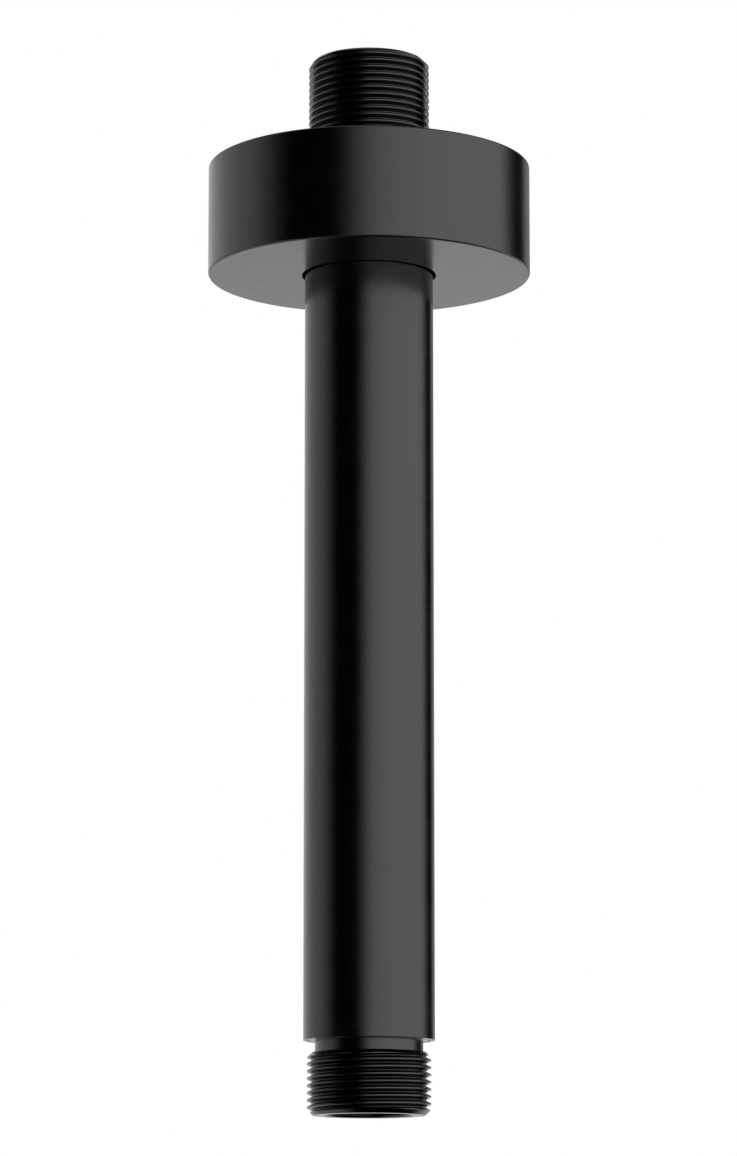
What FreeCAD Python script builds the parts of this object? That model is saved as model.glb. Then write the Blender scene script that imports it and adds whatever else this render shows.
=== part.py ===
import FreeCAD, Part
import os

# Ceiling shower arm, in millimetres. A straight drawn tube hangs from the ceiling. A turned
# threaded end is brazed into each end of it, and a loose cup-shaped flange slides on the tube
# to cover the hole in the ceiling, held where it is put by a rubber ring in its bore.
# The origin is where the axis crosses the ceiling, and +Z points up into the ceiling.

# Tube
tube_diameter = 22.2
tube_wall = 0.8
tube_length = 148.0
tube_top_depth = 3.4  # the tube's upper end lies this far below the ceiling
tube_edge_chamfer = 0.25

# Threaded ends, alike but for the length of the thread
thread_diameter = 20.955  # over the crests of a half-inch pipe thread
thread_depth = 0.85
upper_thread_length = 20.4
lower_thread_length = 10.55
thread_wall = 2.33  # from the thread's root in to the bore
neck_relief = 0.5  # how far the neck lies inside the thread's root
neck_length = 2.0
mouth_chamfer = 0.3  # round the bore at the thread's open end
spigot_length = 12.0
spigot_chamfer = 0.6  # where the spigot enters the tube
seam_groove = 0.25  # fine groove round the brazed seam

# Flange
flange_diameter = 55.8
flange_height = 19.25
flange_wall = 2.0
flange_floor = 2.5
flange_edge_chamfer = 0.3
flange_inner_chamfer = 1.2  # between the floor and the walls
flange_bore_gap = 0.5  # all round the tube
hub_wall = 2.4  # outside the ring's groove
groove_lip = 1.8  # above and below the groove

# Rubber ring in the flange's bore
ring_thickness = 2.0  # from its inner side to its outer side
ring_height = 2.0
ring_edge_chamfer = 0.45
ring_tube_clearance = 0.05
ring_groove_clearance = 0.05
ring_side_clearance = 0.15

tube_radius = tube_diameter / 2
tube_inner_radius = tube_radius - tube_wall
tube_top = -tube_top_depth
tube_bottom = tube_top - tube_length

crest_radius = thread_diameter / 2
root_radius = crest_radius - thread_depth
end_bore_radius = root_radius - thread_wall

ring_inner_radius = tube_radius + ring_tube_clearance
ring_outer_radius = ring_inner_radius + ring_thickness
groove_radius = ring_outer_radius + ring_groove_clearance
groove_width = ring_height + 2 * ring_side_clearance

flange_bottom = -flange_height
groove_bottom = flange_bottom + groove_lip
groove_top = groove_bottom + groove_width
hub_top = groove_top + groove_lip


def turned(corners):
    """Solid of revolution about Z. Each corner of its section is (radius, height)."""
    points = [FreeCAD.Vector(radius, 0, height) for radius, height in corners]
    section = Part.Face(Part.makePolygon(points + points[:1]))
    return section.revolve(FreeCAD.Vector(0, 0, 0), FreeCAD.Vector(0, 0, 1), 360)


def make_tube():
    """Drawn tube, its outer edges chamfered at both ends."""
    return turned([
        (tube_inner_radius, tube_bottom),
        (tube_radius - tube_edge_chamfer, tube_bottom),
        (tube_radius, tube_bottom + tube_edge_chamfer),
        (tube_radius, tube_top - tube_edge_chamfer),
        (tube_radius - tube_edge_chamfer, tube_top),
        (tube_inner_radius, tube_top),
    ])


def make_threaded_end(thread_length):
    """Turned end with its spigot below height 0, the tube's end, and its neck and thread above."""
    neck_radius = root_radius - neck_relief
    thread_top = neck_length + thread_length
    spigot_tip_radius = tube_inner_radius - spigot_chamfer
    lead_in = (spigot_tip_radius - end_bore_radius) / 2
    return turned([
        (end_bore_radius, thread_top - mouth_chamfer),
        (end_bore_radius + mouth_chamfer, thread_top),
        (root_radius, thread_top),
        (crest_radius, thread_top - thread_depth),
        (crest_radius, neck_length + thread_depth),
        (root_radius, neck_length),
        (neck_radius, neck_length),
        (neck_radius, 0),
        (tube_inner_radius - seam_groove, 0),
        (tube_inner_radius, -seam_groove),
        (tube_inner_radius, spigot_chamfer - spigot_length),
        (spigot_tip_radius, -spigot_length),
        (end_bore_radius + lead_in, -spigot_length),
        (end_bore_radius, lead_in - spigot_length),
    ])


def make_upper_end():
    """Threaded end that screws up into the ceiling outlet."""
    end = make_threaded_end(upper_thread_length)
    end.translate(FreeCAD.Vector(0, 0, tube_top))
    return end


def make_lower_end():
    """Threaded end, turned to face down, that takes the shower head."""
    end = make_threaded_end(lower_thread_length)
    end.rotate(FreeCAD.Vector(0, 0, 0), FreeCAD.Vector(1, 0, 0), 180)
    end.translate(FreeCAD.Vector(0, 0, tube_bottom))
    return end


def make_flange():
    """Cup with its rim against the ceiling, and round its bore a hub with the ring's groove."""
    bore_radius = tube_radius + flange_bore_gap
    hub_radius = groove_radius + hub_wall
    outer_radius = flange_diameter / 2
    inner_radius = outer_radius - flange_wall
    floor_top = flange_bottom + flange_floor
    return turned([
        (bore_radius, flange_bottom),
        (outer_radius - flange_edge_chamfer, flange_bottom),
        (outer_radius, flange_bottom + flange_edge_chamfer),
        (outer_radius, -flange_edge_chamfer),
        (outer_radius - flange_edge_chamfer, 0),
        (inner_radius, 0),
        (inner_radius, floor_top + flange_inner_chamfer),
        (inner_radius - flange_inner_chamfer, floor_top),
        (hub_radius + flange_inner_chamfer, floor_top),
        (hub_radius, floor_top + flange_inner_chamfer),
        (hub_radius, hub_top),
        (bore_radius + flange_edge_chamfer, hub_top),
        (bore_radius, hub_top - flange_edge_chamfer),
        (bore_radius, groove_top),
        (groove_radius, groove_top),
        (groove_radius, groove_bottom),
        (bore_radius, groove_bottom),
    ])


def make_ring():
    """Rubber ring of square section with chamfered edges, halfway up the groove."""
    ring_bottom = groove_bottom + ring_side_clearance
    ring_top = ring_bottom + ring_height
    return turned([
        (ring_inner_radius, ring_bottom + ring_edge_chamfer),
        (ring_inner_radius + ring_edge_chamfer, ring_bottom),
        (ring_outer_radius - ring_edge_chamfer, ring_bottom),
        (ring_outer_radius, ring_bottom + ring_edge_chamfer),
        (ring_outer_radius, ring_top - ring_edge_chamfer),
        (ring_outer_radius - ring_edge_chamfer, ring_top),
        (ring_inner_radius + ring_edge_chamfer, ring_top),
        (ring_inner_radius, ring_top - ring_edge_chamfer),
    ])


pieces = {
    "arm_tube": make_tube(),
    "upper_fitting": make_upper_end(),
    "lower_fitting": make_lower_end(),
    "flange": make_flange(),
    "grip_ring": make_ring(),
}

os.makedirs("parts", exist_ok=True)
for name, piece in pieces.items():
    piece.exportStep(os.path.join("parts", name + ".step"))
    print(name, "volume", round(piece.Volume, 1), "mm3, valid", piece.isValid())
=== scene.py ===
import math
from typing import NamedTuple

import bmesh
import bpy
from bpy.props import FloatProperty, FloatVectorProperty, IntProperty, PointerProperty
from mathutils import Matrix, Vector


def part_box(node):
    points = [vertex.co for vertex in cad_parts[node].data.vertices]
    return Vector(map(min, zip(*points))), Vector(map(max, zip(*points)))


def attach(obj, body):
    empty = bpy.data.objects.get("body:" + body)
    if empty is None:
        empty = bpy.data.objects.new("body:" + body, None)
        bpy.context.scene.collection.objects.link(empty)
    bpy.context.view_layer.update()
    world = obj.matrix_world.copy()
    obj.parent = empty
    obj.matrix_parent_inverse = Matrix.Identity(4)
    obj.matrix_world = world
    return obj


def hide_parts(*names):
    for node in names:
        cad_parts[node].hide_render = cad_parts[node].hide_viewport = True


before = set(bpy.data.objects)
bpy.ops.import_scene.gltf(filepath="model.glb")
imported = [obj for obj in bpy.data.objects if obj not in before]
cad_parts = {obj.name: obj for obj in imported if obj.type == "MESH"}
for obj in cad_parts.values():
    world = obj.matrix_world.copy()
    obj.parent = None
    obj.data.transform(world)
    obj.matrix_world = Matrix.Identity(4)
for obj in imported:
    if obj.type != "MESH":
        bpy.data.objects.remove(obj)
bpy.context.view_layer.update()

bl_info = {
    "name": "Ceiling Shower Arm",
    "version": (1, 0, 0),
    "blender": (4, 5, 0),
    "location": "3D Viewport > Sidebar > Shower Arm",
    "description": "Builds a satin black ceiling shower arm and the studio it is shown in",
    "category": "Object",
}

# A straight tube hangs from the ceiling by the thread at its top, and a shower head screws on to
# the thread at its bottom. A loose cup-shaped flange slides on the tube and covers the hole in the
# ceiling. Lengths are in metres, +Z points up into the ceiling, and z 0 is the ceiling.

MILLIMETRE = 0.001
MICROMETRE = 0.000001

# Meshes
WELD_DISTANCE = 0.05 * MICROMETRE
FLAT_FACE_WEIGHT = 90  # how far large faces rule the shading of the edges beside them
CORNER_STEPS = 5  # flat stretches in the rounding of a corner
THREAD_CORNER_STEPS = 2
FLANK_SHARES = (1 / 3, 2 / 3)  # where a flank has rows, on the way from its root to its crest
SPARE_TURNS = 2  # so that the thread reaches past both of its ends all round
TURNED_SHARP_ANGLE = math.radians(30)
THREAD_SHARP_ANGLE = math.radians(40)

# Materials
WHITE = (1.0, 1.0, 1.0)
GRAIN_NOISE = {"Detail": 2.0, "Roughness": 0.55}
RIPPLE_NOISE = {"Detail": 1.0, "Roughness": 0.4}
MOTTLE_START, MOTTLE_END = 0.7, 1.3  # grain and ripple added, at the dark and at the pale flecks
SURFACE_IOR = 1.5
FLOOR_ROUGHNESS = 0.9
CARD_UV = "card"

# Camera
SENSOR_WIDTH = 36.0  # in millimetres


def length_property(name, description, millimetres):
    """A length that is given in millimetres and kept in metres."""
    return FloatProperty(
        name=name, description=description, default=millimetres * MILLIMETRE, min=0.0,
        precision=5, unit="LENGTH", subtype="DISTANCE",
    )


def angle_property(name, description, degrees):
    """An angle that is given in degrees and kept in radians."""
    return FloatProperty(
        name=name, description=description, default=math.radians(degrees), subtype="ANGLE",
    )


def share_property(name, description, default):
    """A plain number from 0 to 1."""
    return FloatProperty(
        name=name, description=description, default=default, min=0.0, max=1.0,
        precision=4, subtype="FACTOR",
    )


def ratio_property(name, description, default):
    """How many times one thing holds another."""
    return FloatProperty(name=name, description=description, default=default, min=0.0)


def steps_property(description, default):
    """A number of flat faces that stand for something round."""
    return IntProperty(name="Steps", description=description, default=default, min=24)


def colour_property(name, description, default):
    """A colour as red, green and blue."""
    return FloatVectorProperty(
        name=name, description=description, default=default, min=0.0, max=1.0, size=3,
        subtype="COLOR",
    )


class ShowerArmCoating(bpy.types.PropertyGroup):
    """Colours and grain of the satin black coating"""
    dark: colour_property("Dark", "Main colour", (0.0002, 0.0002, 0.0002))
    light: colour_property("Light", "Colour of the paler flecks", (0.0006, 0.0006, 0.0006))
    smooth: share_property("Smooth", "Roughness where the surface is smoothest", 0.185)
    rough: share_property("Rough", "Roughness where the surface is roughest", 0.220)
    grain_size: length_property("Grain Size", "Size of the fine grain", 0.28)
    grain_depth: length_property("Grain Depth", "Height of the fine grain", 0.007)
    ripple_size: length_property("Ripple Size", "Size of the slow ripple", 3.2)
    ripple_ratio: ratio_property("Ripple Ratio", "Ripple's height over the grain's", 4.0)


class ShowerArmRubber(bpy.types.PropertyGroup):
    """Colours and grain of the grip ring's matt rubber"""
    dark: colour_property("Dark", "Main colour", (0.011, 0.011, 0.011))
    light: colour_property("Light", "Colour of the paler flecks", (0.018, 0.018, 0.017))
    smooth: share_property("Smooth", "Roughness where the surface is smoothest", 0.5)
    rough: share_property("Rough", "Roughness where the surface is roughest", 0.62)
    grain_size: length_property("Grain Size", "Size of the fine grain", 0.12)
    grain_depth: length_property("Grain Depth", "Height of the fine grain", 0.004)
    ripple_size: length_property("Ripple Size", "Size of the slow ripple", 1.5)
    ripple_ratio: ratio_property("Ripple Ratio", "Ripple's height over the grain's", 1.0)


class ShowerArmTube(bpy.types.PropertyGroup):
    """Sizes of the drawn tube"""
    wall: length_property("Wall", "Thickness of the tube's wall", 0.8)
    edge_rounding: length_property("Edge Rounding", "Rounding of both outer edges", 0.05)
    steps: steps_property("Flat faces round the tube", 224)


class ShowerArmThreads(bpy.types.PropertyGroup):
    """Sizes of the two turned and threaded ends"""
    pitch: length_property("Pitch", "Height of one turn of the thread", 1.21)
    depth: length_property("Depth", "From the crest to the root of the thread", 0.85)
    crest_flat: length_property("Crest Flat", "Height of the flat on the crest", 0.23)
    root_flat: length_property("Root Flat", "Height of the flat in the root", 0.09)
    edge_rounding: length_property("Edge Rounding", "Rounding beside those flats", 0.045)
    upper_start: angle_property("Upper Start", "Where the upper thread begins to turn", 116.0)
    lower_start: angle_property("Lower Start", "Where the lower thread begins to turn", 135.0)
    wall: length_property("Wall", "From the thread's root in to the bore", 2.33)
    end_relief: length_property("End Relief", "End chamfer's depth below the root", 0.12)
    neck_relief: length_property("Neck Relief", "How far the neck lies inside the root", 0.5)
    neck_length: length_property("Neck Length", "Plain neck between tube and thread", 2.0)
    neck_fillet: length_property("Neck Fillet", "Rounding at the foot of the neck", 0.05)
    mouth_chamfer: length_property("Mouth Chamfer", "Chamfer round the open bore", 0.3)
    spigot_chamfer: length_property("Spigot Chamfer", "Chamfer where it enters the tube", 0.6)
    seam_groove: length_property("Seam Groove", "Fine groove round the brazed seam", 0.25)
    steps: steps_property("Flat faces round the thread", 192)


class ShowerArmFlange(bpy.types.PropertyGroup):
    """Sizes of the cup-shaped flange"""
    wall: length_property("Wall", "Thickness of the cup's wall", 2.0)
    floor: length_property("Floor", "Thickness of the cup's floor", 2.5)
    edge_rounding: length_property("Edge Rounding", "Rounding of the outer edges", 0.4)
    inner_fillet: length_property("Inner Fillet", "Rounding between floor and walls", 1.2)
    bore_gap: length_property("Bore Gap", "Gap all round the tube", 0.5)
    bore_rounding: length_property("Bore Rounding", "Rounding of the bore's edges", 0.1)
    hub_wall: length_property("Hub Wall", "Wall outside the ring's groove", 2.4)
    groove_lip: length_property("Groove Lip", "Metal above the groove", 1.8)
    ring_side_clearance: length_property("Side Clearance", "Above and below the ring", 0.15)
    ring_groove_clearance: length_property("Groove Clearance", "Outside the ring", 0.05)
    steps: steps_property("Flat faces round the flange", 320)


class ShowerArmStudio(bpy.types.PropertyGroup):
    """Camera, floor and light"""
    camera_distance: length_property("Camera Distance", "From the axis to the camera", 742.2)
    camera_drop: length_property("Camera Drop", "From the ceiling down to the camera", 202.2)
    camera_left: length_property("Camera Left", "How far left of the axis it stands", 0.09)
    camera_tilt: angle_property("Camera Tilt", "How far the camera looks up", 9.92)
    lens: FloatProperty(
        name="Lens", description="Focal length in millimetres", default=136.96, min=10.0,
        unit="CAMERA",
    )
    floor_drop: length_property("Floor Drop", "From the ceiling down to the floor", 420.0)
    floor_size: length_property("Floor Size", "Side of the floor", 16000.0)
    fade_start: length_property("Fade Start", "Where the floor begins to fade", 900.0)
    fade_end: length_property("Fade End", "Where the floor has faded away", 3000.0)
    floor: colour_property("Floor", "Colour of the floor", (0.9, 0.9, 0.9))
    backdrop: colour_property("Backdrop", "Colour of the background", WHITE)
    ambient: share_property("Ambient", "Level of the light from all round", 0.9)


class Card(NamedTuple):
    """Card of light, grey or black, bent round the arm.

    Its foot and head are (distance from the axis, height). Its sides are azimuths in degrees: 0 is
    the camera's side and 90 is towards +X. Its side fades are in degrees too, and the fades of its
    foot and head are shares of the way between them. A card without brightness is black. Its
    falloff is how much dimmer its sides are than its middle.
    """
    name: str
    foot: tuple
    head: tuple
    sides: tuple = (0.0, 360.0)
    side_fades: tuple = (0.0, 0.0)
    foot_fade: float = 0.0
    head_fade: float = 0.0
    brightness: float = 0.0
    falloff: float = 0.0


CARD_STEPS = 60  # flat faces along a card
CARD_FOOT = -0.42  # at the floor
CARD_TOP = 1.7
BOARD_TOP = -0.14
CANOPY_HEIGHT = 1.72
CLOTH_HEIGHT = -0.419  # just above the floor, and the runner and the mat just above that
RUNNER_HEIGHT = -0.4185
MAT_HEIGHT = -0.418
NEAR_AXIS = 0.001  # where a card that lies flat ends

CARDS = (
    Card("right_softbox", foot=(1.30, CARD_FOOT), head=(1.30, CARD_TOP), sides=(-26.0, 130.0),
         side_fades=(33.0, 28.0), head_fade=0.25, brightness=2.24, falloff=0.80),
    Card("black_surround", foot=(1.40, CARD_FOOT), head=(1.40, CARD_TOP), sides=(-96.0, 148.0),
         side_fades=(38.0, 6.0)),
    Card("grey_back", foot=(1.50, CARD_FOOT), head=(1.50, CARD_TOP), sides=(142.5, 196.0),
         side_fades=(2.0, 30.0), head_fade=0.25, brightness=0.37),
    Card("pale_left", foot=(1.60, CARD_FOOT), head=(1.60, CARD_TOP), sides=(150.0, 285.0),
         side_fades=(2.0, 2.0), head_fade=0.25, brightness=0.87),
    Card("black_canopy", foot=(1.80, CANOPY_HEIGHT), head=(NEAR_AXIS, CANOPY_HEIGHT),
         foot_fade=0.1, head_fade=0.7),
    Card("black_cloth", foot=(0.50, CLOTH_HEIGHT), head=(NEAR_AXIS, CLOTH_HEIGHT),
         sides=(-65.0, 165.0), side_fades=(25.0, 20.0), foot_fade=0.5),
    Card("black_runner", foot=(1.30, RUNNER_HEIGHT), head=(0.20, RUNNER_HEIGHT),
         sides=(-66.0, -10.0), side_fades=(14.0, 14.0), foot_fade=0.2),
    Card("black_mat", foot=(0.16, MAT_HEIGHT), head=(NEAR_AXIS, MAT_HEIGHT), foot_fade=0.6),
    Card("white_board", foot=(1.22, CLOTH_HEIGHT), head=(1.22, BOARD_TOP), sides=(110.0, 250.0),
         side_fades=(20.0, 20.0), head_fade=0.15, brightness=0.83),
)


def round_extent(node):
    """Outer radius, lowest and highest point of a round node of the frame."""
    low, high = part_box(node)
    return high.x, low.z, high.z


def remove_piece(name):
    """Takes away a piece that an earlier press of its button made."""
    old = bpy.data.objects.get(name)
    if old is not None:
        bpy.data.objects.remove(old)


def mesh_from(shape, name):
    """Mesh of that name from a bmesh, which is then freed."""
    mesh = bpy.data.meshes.new(name)
    shape.to_mesh(mesh)
    shape.free()
    return mesh


def add_object(name, mesh, material):
    """New object of that mesh and material, in the scene."""
    remove_piece(name)
    made = bpy.data.objects.new(name, mesh)
    bpy.context.scene.collection.objects.link(made)
    mesh.materials.append(material)
    return made


def finish_piece(shape, name, material, sharp_angle):
    """Turns a bmesh into a smooth piece whose edges sharper than that angle stay sharp."""
    bmesh.ops.remove_doubles(shape, verts=shape.verts, dist=WELD_DISTANCE)
    bmesh.ops.dissolve_degenerate(shape, edges=shape.edges, dist=WELD_DISTANCE)
    bmesh.ops.recalc_face_normals(shape, faces=shape.faces)
    for face in shape.faces:
        face.smooth = True
    mesh = mesh_from(shape, name)
    mesh.set_sharp_from_angle(angle=sharp_angle)
    piece = add_object(name, mesh, material)
    weighted = piece.modifiers.new("flat faces stay flat", "WEIGHTED_NORMAL")
    weighted.keep_sharp = True
    weighted.weight = FLAT_FACE_WEIGHT
    return piece


def rounded_corner(before, corner, after, rounding, steps=CORNER_STEPS):
    """Points of the arc that rounds one corner of an outline."""
    back = (before - corner).normalized()
    ahead = (after - corner).normalized()
    half_angle = back.angle(ahead) / 2
    centre = corner + (back + ahead).normalized() * rounding / math.sin(half_angle)
    first = (corner + back * rounding / math.tan(half_angle) - centre).normalized()
    last = (corner + ahead * rounding / math.tan(half_angle) - centre).normalized()
    return [centre + first.slerp(last, step / steps) * rounding for step in range(steps + 1)]


def outline_points(corners):
    """Points of a closed outline.

    Each of its corners is (radius, height), or (radius, height, rounding).
    """
    places = [Vector(corner[:2]) for corner in corners]
    points = []
    for index, corner in enumerate(corners):
        here = places[index]
        if len(corner) == 2:
            points.append(here)
            continue
        after = places[(index + 1) % len(places)]
        points.extend(rounded_corner(places[index - 1], here, after, corner[2]))
    return points


def add_row(shape, radius, height, steps):
    """One circle of vertices about the axis."""
    row = []
    for step in range(steps):
        angle = math.tau * step / steps
        row.append(shape.verts.new((radius * math.cos(angle), radius * math.sin(angle), height)))
    return row


def join_rows(shape, first, second):
    """Faces between two circles of as many vertices."""
    count = len(first)
    for step in range(count):
        ahead = (step + 1) % count
        shape.faces.new((first[step], first[ahead], second[ahead], second[step]))


def turned_piece(name, corners, steps, material):
    """Piece turned about the axis from a closed outline."""
    shape = bmesh.new()
    rows = [add_row(shape, point.x, point.y, steps) for point in outline_points(corners)]
    for index, row in enumerate(rows):
        join_rows(shape, rows[index - 1], row)
    return finish_piece(shape, name, material, TURNED_SHARP_ANGLE)


def add_node(tree, kind, inputs=None, **settings):
    """New shader node. What goes in each named or numbered input is a socket or a plain value."""
    made = tree.nodes.new(kind)
    for setting, value in settings.items():
        setattr(made, setting, value)
    for socket, value in (inputs or {}).items():
        if isinstance(value, bpy.types.NodeSocket):
            tree.links.new(value, made.inputs[socket])
        else:
            made.inputs[socket].default_value = value
    return made


def add_math(tree, operation, *values):
    """Output of a math node whose inputs are sockets or plain values."""
    return add_node(tree, "ShaderNodeMath", dict(enumerate(values)), operation=operation).outputs[0]


def add_smooth_step(tree, value, start, end):
    """Output that goes smoothly from 0 to 1 as the value goes from start to end."""
    step = add_node(tree, "ShaderNodeMapRange", {
        "Value": value, "From Min": start, "From Max": end,
    }, interpolation_type="SMOOTHSTEP")
    return step.outputs["Result"]


def add_noise(tree, place, size, noise):
    """Output of a noise whose spots have that size."""
    scale = add_math(tree, "DIVIDE", 1.0, size)
    made = add_node(tree, "ShaderNodeTexNoise", {"Vector": place, "Scale": scale, **noise})
    return made.outputs["Fac"]


def add_shader_mix(tree, share, first, second):
    """Shader that goes from the first to the second as the share goes from 0 to 1."""
    mixed = add_node(tree, "ShaderNodeMixShader", {
        0: share, 1: first.outputs[0], 2: second.outputs[0],
    })
    return mixed.outputs[0]


def empty_tree(owner):
    """Node tree of a material or world, with nothing in it."""
    owner.use_nodes = True
    owner.node_tree.nodes.clear()
    return owner.node_tree


def empty_material(name):
    """Material of that name and its node tree, with nothing in it."""
    material = bpy.data.materials.get(name) or bpy.data.materials.new(name)
    return material, empty_tree(material)


def opaque(colour):
    """A red, green and blue colour with full alpha."""
    return (*colour, 1.0)


def grain_group():
    """Fine grain over a slow ripple. Height is for bump, and mottle for colour and roughness."""
    name = "grain and ripple"
    if name in bpy.data.node_groups:
        return bpy.data.node_groups[name]
    group = bpy.data.node_groups.new(name, "ShaderNodeTree")
    for label in ("Grain Size", "Ripple Size", "Ripple Ratio"):
        group.interface.new_socket(label, in_out="INPUT", socket_type="NodeSocketFloat")
    for label in ("Height", "Mottle"):
        group.interface.new_socket(label, in_out="OUTPUT", socket_type="NodeSocketFloat")
    given = add_node(group, "NodeGroupInput").outputs
    place = add_node(group, "ShaderNodeTexCoord").outputs["Object"]
    grain = add_noise(group, place, given["Grain Size"], GRAIN_NOISE)
    ripple = add_noise(group, place, given["Ripple Size"], RIPPLE_NOISE)
    both = add_math(group, "ADD", grain, ripple)
    add_node(group, "NodeGroupOutput", {
        "Height": add_math(group, "MULTIPLY_ADD", ripple, given["Ripple Ratio"], grain),
        "Mottle": add_smooth_step(group, both, MOTTLE_START, MOTTLE_END),
    })
    return group


def grained_material(name, finish):
    """Material whose colour, roughness and surface vary with the shared grain."""
    material, tree = empty_material(name)
    grain = add_node(tree, "ShaderNodeGroup", {
        "Grain Size": finish.grain_size,
        "Ripple Size": finish.ripple_size,
        "Ripple Ratio": finish.ripple_ratio,
    }, node_tree=grain_group()).outputs
    colour = add_node(tree, "ShaderNodeMix", {
        "Factor": grain["Mottle"], "A": opaque(finish.dark), "B": opaque(finish.light),
    }, data_type="RGBA")
    roughness = add_node(tree, "ShaderNodeMapRange", {
        "Value": grain["Mottle"], "To Min": finish.smooth, "To Max": finish.rough,
    })
    bump = add_node(tree, "ShaderNodeBump", {
        "Strength": 1.0, "Distance": finish.grain_depth, "Height": grain["Height"],
    })
    shader = add_node(tree, "ShaderNodeBsdfPrincipled", {
        "Base Color": colour.outputs["Result"],
        "Roughness": roughness.outputs["Result"],
        "Normal": bump.outputs["Normal"],
        "IOR": SURFACE_IOR,
    })
    add_node(tree, "ShaderNodeOutputMaterial", {"Surface": shader.outputs["BSDF"]})
    return material


class SHOWERARM_OT_tube(bpy.types.Operator):
    """Make the drawn tube"""
    bl_idname = "showerarm.tube"
    bl_label = "Tube"

    def execute(self, context):
        sizes = context.scene.shower_arm_tube
        radius, bottom, top = round_extent("arm_tube")
        inner_radius = radius - sizes.wall
        tube = turned_piece("tube", [
            (inner_radius, bottom),
            (radius, bottom, sizes.edge_rounding),
            (radius, top, sizes.edge_rounding),
            (inner_radius, top),
        ], sizes.steps, grained_material("tube coating", context.scene.shower_arm_coating))
        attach(tube, "arm")
        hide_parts("arm_tube")
        return {"FINISHED"}


def thread_profile(sizes):
    """Depth below the crest and height within one pitch, from one root's middle to the next's."""
    half_pitch = sizes.pitch / 2
    root_middle = Vector((sizes.depth, 0))
    root_corner = Vector((sizes.depth, sizes.root_flat / 2))
    crest_corner = Vector((0, half_pitch - sizes.crest_flat / 2))
    crest_middle = Vector((0, half_pitch))
    at_root = rounded_corner(
        root_middle, root_corner, crest_corner, sizes.edge_rounding, THREAD_CORNER_STEPS)
    at_crest = rounded_corner(
        root_corner, crest_corner, crest_middle, sizes.edge_rounding, THREAD_CORNER_STEPS)
    on_flank = [at_root[-1].lerp(at_crest[0], share) for share in FLANK_SHARES]
    rising = [root_middle, *at_root, *on_flank, *at_crest, crest_middle]
    falling = [Vector((place.x, sizes.pitch - place.y)) for place in reversed(rising[1:-1])]
    return rising + falling


def add_thread(shape, sizes, crest_radius, low, high, start_angle):
    """Right-handed thread between two heights, with a chamfer at each end.

    Its rows follow the helix, and what would lie past either end is pressed flat on to it.
    """
    profile = thread_profile(sizes)
    per_turn = len(profile)
    turns = math.ceil((high - low) / sizes.pitch) + SPARE_TURNS
    root_radius = crest_radius - sizes.depth
    first_turn = low - sizes.pitch * (1 + start_angle / math.tau)
    columns = []
    for step in range(sizes.steps):
        angle = math.tau * step / sizes.steps
        across, along = math.cos(angle), math.sin(angle)
        column = []
        for row in range(turns * per_turn + 1):
            drop, rise = profile[row % per_turn]
            height = first_turn + rise + sizes.pitch * (row // per_turn + step / sizes.steps)
            height = min(max(height, low), high)
            chamfer = root_radius + min(height - low, high - height - sizes.end_relief)
            radius = min(crest_radius - drop, chamfer)
            column.append(shape.verts.new((radius * across, radius * along, height)))
        columns.append(column)
    for step, column in enumerate(columns):
        last = step == len(columns) - 1
        ahead = columns[0][per_turn:] if last else columns[step + 1]
        for row in range(min(len(column), len(ahead)) - 1):
            shape.faces.new((column[row], ahead[row], ahead[row + 1], column[row + 1]))


def threaded_end(name, node, sizes, start_angle, material):
    """Turned end with its thread.

    It is made with the tube's end at height 0, its spigot below that and its thread above. Then it
    goes to its own end of the tube, turned over if it hangs from the lower one.
    """
    crest_radius, low, high = round_extent(node)
    tube_radius, tube_bottom, tube_top = round_extent("arm_tube")
    tube_inner = tube_radius - bpy.context.scene.shower_arm_tube.wall
    hangs = high < tube_top
    seat = tube_bottom if hangs else tube_top
    thread_top = seat - low if hangs else high - seat
    spigot = high - seat if hangs else seat - low
    root_radius = crest_radius - sizes.depth
    neck_radius = root_radius - sizes.neck_relief
    bore_radius = root_radius - sizes.wall
    lead_in = (tube_inner - sizes.spigot_chamfer - bore_radius) / 2
    points = outline_points([
        (root_radius - sizes.end_relief, thread_top),
        (bore_radius + sizes.mouth_chamfer, thread_top),
        (bore_radius, thread_top - sizes.mouth_chamfer),
        (bore_radius, lead_in - spigot),
        (bore_radius + lead_in, -spigot),
        (tube_inner - sizes.spigot_chamfer, -spigot),
        (tube_inner, sizes.spigot_chamfer - spigot),
        (tube_inner, -sizes.seam_groove),
        (tube_inner - sizes.seam_groove, 0),
        (neck_radius, 0, sizes.neck_fillet),
        (neck_radius, sizes.neck_length),
        (root_radius, sizes.neck_length),
    ])
    shape = bmesh.new()
    rows = [add_row(shape, point.x, point.y, sizes.steps) for point in points]
    for first, second in zip(rows, rows[1:]):
        join_rows(shape, first, second)
    add_thread(shape, sizes, crest_radius, sizes.neck_length, thread_top, start_angle)
    turn = Matrix.Rotation(math.pi, 4, "X") if hangs else Matrix.Identity(4)
    to_seat = Matrix.Translation((0, 0, seat)) @ turn
    bmesh.ops.transform(shape, matrix=to_seat, verts=shape.verts)
    piece = finish_piece(shape, name, material, THREAD_SHARP_ANGLE)
    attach(piece, "arm")
    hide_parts(node)


class SHOWERARM_OT_threaded_ends(bpy.types.Operator):
    """Make the two turned ends with their helical threads"""
    bl_idname = "showerarm.threaded_ends"
    bl_label = "Threaded Ends"

    def execute(self, context):
        sizes = context.scene.shower_arm_threads
        coating = grained_material("thread coating", context.scene.shower_arm_coating)
        threaded_end("upper_threaded_end", "upper_fitting", sizes, sizes.upper_start, coating)
        threaded_end("lower_threaded_end", "lower_fitting", sizes, sizes.lower_start, coating)
        return {"FINISHED"}


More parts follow.
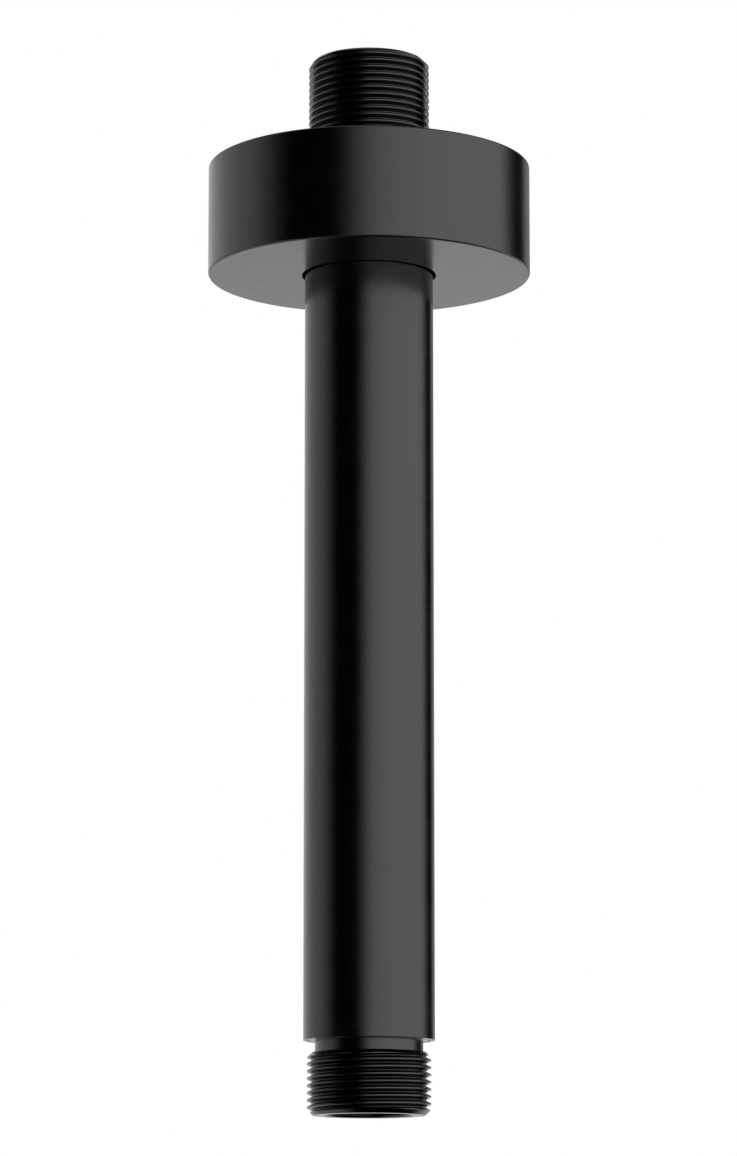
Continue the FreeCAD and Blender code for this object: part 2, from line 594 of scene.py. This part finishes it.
class SHOWERARM_OT_flange(bpy.types.Operator):
    """Make the cup-shaped flange with the groove for its grip ring"""
    bl_idname = "showerarm.flange"
    bl_label = "Flange"

    def execute(self, context):
        sizes = context.scene.shower_arm_flange
        outer_radius, bottom, top = round_extent("flange")
        ring_radius, ring_bottom, ring_top = round_extent("grip_ring")
        bore_radius = round_extent("arm_tube")[0] + sizes.bore_gap
        groove_radius = ring_radius + sizes.ring_groove_clearance
        groove_bottom = ring_bottom - sizes.ring_side_clearance
        groove_top = ring_top + sizes.ring_side_clearance
        hub_radius = groove_radius + sizes.hub_wall
        hub_top = groove_top + sizes.groove_lip
        floor_top = bottom + sizes.floor
        inner_radius = outer_radius - sizes.wall
        flange = turned_piece("ceiling_flange", [
            (bore_radius, bottom, sizes.bore_rounding),
            (outer_radius, bottom, sizes.edge_rounding),
            (outer_radius, top, sizes.edge_rounding),
            (inner_radius, top, sizes.bore_rounding),
            (inner_radius, floor_top, sizes.inner_fillet),
            (hub_radius, floor_top, sizes.inner_fillet),
            (hub_radius, hub_top, sizes.edge_rounding),
            (bore_radius, hub_top, sizes.edge_rounding),
            (bore_radius, groove_top, sizes.bore_rounding),
            (groove_radius, groove_top),
            (groove_radius, groove_bottom),
            (bore_radius, groove_bottom, sizes.bore_rounding),
        ], sizes.steps, grained_material("flange coating", context.scene.shower_arm_coating))
        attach(flange, "flange")
        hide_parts("flange")
        return {"FINISHED"}


class SHOWERARM_OT_grip_ring(bpy.types.Operator):
    """Give the rubber grip ring its finish"""
    bl_idname = "showerarm.grip_ring"
    bl_label = "Grip Ring"

    def execute(self, context):
        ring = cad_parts["grip_ring"]
        rubber = grained_material("ring rubber", context.scene.shower_arm_rubber)
        ring.data.materials.clear()
        ring.data.materials.append(rubber)
        return {"FINISHED"}


def card_material(card):
    """Light, grey or black that fades out towards the card's edges."""
    material, tree = empty_material(card.name)
    place = add_node(tree, "ShaderNodeUVMap", uv_map=CARD_UV).outputs["UV"]
    along = add_node(tree, "ShaderNodeSeparateXYZ", {"Vector": place}).outputs
    width = card.sides[1] - card.sides[0]
    cover = 1.0
    for axis, edge, inside in (
        ("X", 0.0, card.side_fades[0] / width),
        ("X", 1.0, 1.0 - card.side_fades[1] / width),
        ("Y", 0.0, card.foot_fade),
        ("Y", 1.0, 1.0 - card.head_fade),
    ):
        if edge != inside:
            fade = add_smooth_step(tree, along[axis], edge, inside)
            cover = add_math(tree, "MULTIPLY", cover, fade)
    from_middle = add_math(tree, "MULTIPLY_ADD", along["X"], 2.0, -1.0)
    squared = add_math(tree, "POWER", from_middle, 2.0)
    dimming = -card.falloff * card.brightness
    glow = add_math(tree, "MULTIPLY_ADD", squared, dimming, card.brightness)
    clear = add_node(tree, "ShaderNodeBsdfTransparent")
    light = add_node(tree, "ShaderNodeEmission", {"Strength": glow})
    mixed = add_shader_mix(tree, cover, clear, light)
    add_node(tree, "ShaderNodeOutputMaterial", {"Surface": mixed})
    return material


def make_card(card):
    """Stands a card round the arm, where only what the arm reflects shows it."""
    remove_piece(card.name)
    shape = bmesh.new()
    uv_layer = shape.loops.layers.uv.new(CARD_UV)
    posts = []
    for step in range(CARD_STEPS + 1):
        share = step / CARD_STEPS
        azimuth = math.radians(card.sides[0] + (card.sides[1] - card.sides[0]) * share)
        ends = [
            shape.verts.new((math.sin(azimuth) * distance, -math.cos(azimuth) * distance, height))
            for distance, height in (card.foot, card.head)
        ]
        posts.append((share, *ends))
    for (share, foot, head), (next_share, next_foot, next_head) in zip(posts, posts[1:]):
        face = shape.faces.new((foot, head, next_head, next_foot))
        places = ((share, 0.0), (share, 1.0), (next_share, 1.0), (next_share, 0.0))
        for loop, place in zip(face.loops, places):
            loop[uv_layer].uv = place
    made = add_object(card.name, mesh_from(shape, card.name), card_material(card))
    made.visible_camera = False
    made.visible_diffuse = False
    made.visible_shadow = False


def make_world(studio):
    """White background, and even light from all round at a plain level."""
    world = bpy.data.worlds.get("pale studio") or bpy.data.worlds.new("pale studio")
    tree = empty_tree(world)
    path = add_node(tree, "ShaderNodeLightPath").outputs
    seen = add_math(tree, "MAXIMUM", path["Is Camera Ray"], path["Is Glossy Ray"])
    seen_through = add_math(tree, "MAXIMUM", seen, path["Is Transmission Ray"])
    light = add_node(tree, "ShaderNodeBackground", {
        "Color": opaque(WHITE), "Strength": studio.ambient,
    })
    backdrop = add_node(tree, "ShaderNodeBackground", {
        "Color": opaque(studio.backdrop), "Strength": 1.0,
    })
    mixed = add_shader_mix(tree, seen_through, light, backdrop)
    add_node(tree, "ShaderNodeOutputWorld", {"Surface": mixed})
    bpy.context.scene.world = world


def floor_material(studio):
    """Pale paint without sheen. It fades away far from the arm and isn't seen from underneath."""
    material, tree = empty_material("pale floor")
    paint = add_node(tree, "ShaderNodeBsdfPrincipled", {
        "Base Color": opaque(studio.floor),
        "Roughness": FLOOR_ROUGHNESS,
        "Specular IOR Level": 0.0,
    })
    clear = add_node(tree, "ShaderNodeBsdfTransparent")
    place = add_node(tree, "ShaderNodeTexCoord").outputs["Object"]
    level = add_node(tree, "ShaderNodeVectorMath", {
        0: place, 1: (1.0, 1.0, 0.0),
    }, operation="MULTIPLY")
    distance = add_node(tree, "ShaderNodeVectorMath", {
        0: level.outputs["Vector"],
    }, operation="LENGTH")
    fade = add_smooth_step(tree, distance.outputs["Value"], studio.fade_start, studio.fade_end)
    underneath = add_node(tree, "ShaderNodeNewGeometry").outputs["Backfacing"]
    unseen = add_math(tree, "MAXIMUM", underneath, fade)
    mixed = add_shader_mix(tree, unseen, paint, clear)
    add_node(tree, "ShaderNodeOutputMaterial", {"Surface": mixed})
    return material


def make_floor(studio):
    """Square floor below the arm."""
    half = studio.floor_size / 2
    shape = bmesh.new()
    shape.faces.new([
        shape.verts.new((x, y, -studio.floor_drop))
        for x, y in ((-half, -half), (half, -half), (half, half), (-half, half))
    ])
    mesh = mesh_from(shape, "floor")
    material = floor_material(studio)
    add_object("floor", mesh, material)


def make_camera(studio):
    """Camera a little below the flange, looking up at the arm."""
    remove_piece("camera")
    data = bpy.data.cameras.new("camera")
    data.sensor_width = SENSOR_WIDTH
    data.lens = studio.lens
    camera = bpy.data.objects.new("camera", data)
    camera.location = (-studio.camera_left, -studio.camera_distance, -studio.camera_drop)
    camera.rotation_euler = (math.pi / 2 + studio.camera_tilt, 0.0, 0.0)
    bpy.context.scene.collection.objects.link(camera)
    bpy.context.scene.camera = camera


class SHOWERARM_OT_studio(bpy.types.Operator):
    """Make the floor, the light, the background and the camera"""
    bl_idname = "showerarm.studio"
    bl_label = "Studio"

    def execute(self, context):
        studio = context.scene.shower_arm_studio
        context.scene.view_settings.view_transform = "Standard"
        make_world(studio)
        make_floor(studio)
        for card in CARDS:
            make_card(card)
        make_camera(studio)
        return {"FINISHED"}


SETTINGS = {
    "shower_arm_coating": ShowerArmCoating,
    "shower_arm_rubber": ShowerArmRubber,
    "shower_arm_tube": ShowerArmTube,
    "shower_arm_threads": ShowerArmThreads,
    "shower_arm_flange": ShowerArmFlange,
    "shower_arm_studio": ShowerArmStudio,
}

PANEL_SECTIONS = (
    ("shower_arm_coating", ()),
    ("shower_arm_tube", ("showerarm.tube",)),
    ("shower_arm_threads", ("showerarm.threaded_ends",)),
    ("shower_arm_flange", ("showerarm.flange",)),
    ("shower_arm_rubber", ("showerarm.grip_ring",)),
    ("shower_arm_studio", ("showerarm.studio",)),
)


class SHOWERARM_PT_panel(bpy.types.Panel):
    """Lists the sizes and colours, and a button for each piece"""
    bl_idname = "SHOWERARM_PT_panel"
    bl_label = "Ceiling Shower Arm"
    bl_space_type = "VIEW_3D"
    bl_region_type = "UI"
    bl_category = "Shower Arm"

    def draw(self, context):
        for settings, operators in PANEL_SECTIONS:
            box = self.layout.box()
            group = getattr(context.scene, settings)
            for name in group.__annotations__:
                box.prop(group, name)
            for operator in operators:
                box.operator(operator)


CLASSES = (
    *SETTINGS.values(),
    SHOWERARM_OT_tube,
    SHOWERARM_OT_threaded_ends,
    SHOWERARM_OT_flange,
    SHOWERARM_OT_grip_ring,
    SHOWERARM_OT_studio,
    SHOWERARM_PT_panel,
)


def register():
    """Makes the settings, the operators and the panel known."""
    for kind in CLASSES:
        bpy.utils.register_class(kind)
    for name, group in SETTINGS.items():
        setattr(bpy.types.Scene, name, PointerProperty(type=group))


def unregister():
    """Takes away what register made known."""
    for name in SETTINGS:
        delattr(bpy.types.Scene, name)
    for kind in reversed(CLASSES):
        bpy.utils.unregister_class(kind)


def main():
    """Builds every piece in order."""
    register()
    bpy.ops.showerarm.tube()
    bpy.ops.showerarm.threaded_ends()
    bpy.ops.showerarm.flange()
    bpy.ops.showerarm.grip_ring()
    bpy.ops.showerarm.studio()


if __name__ == "__main__":
    main()
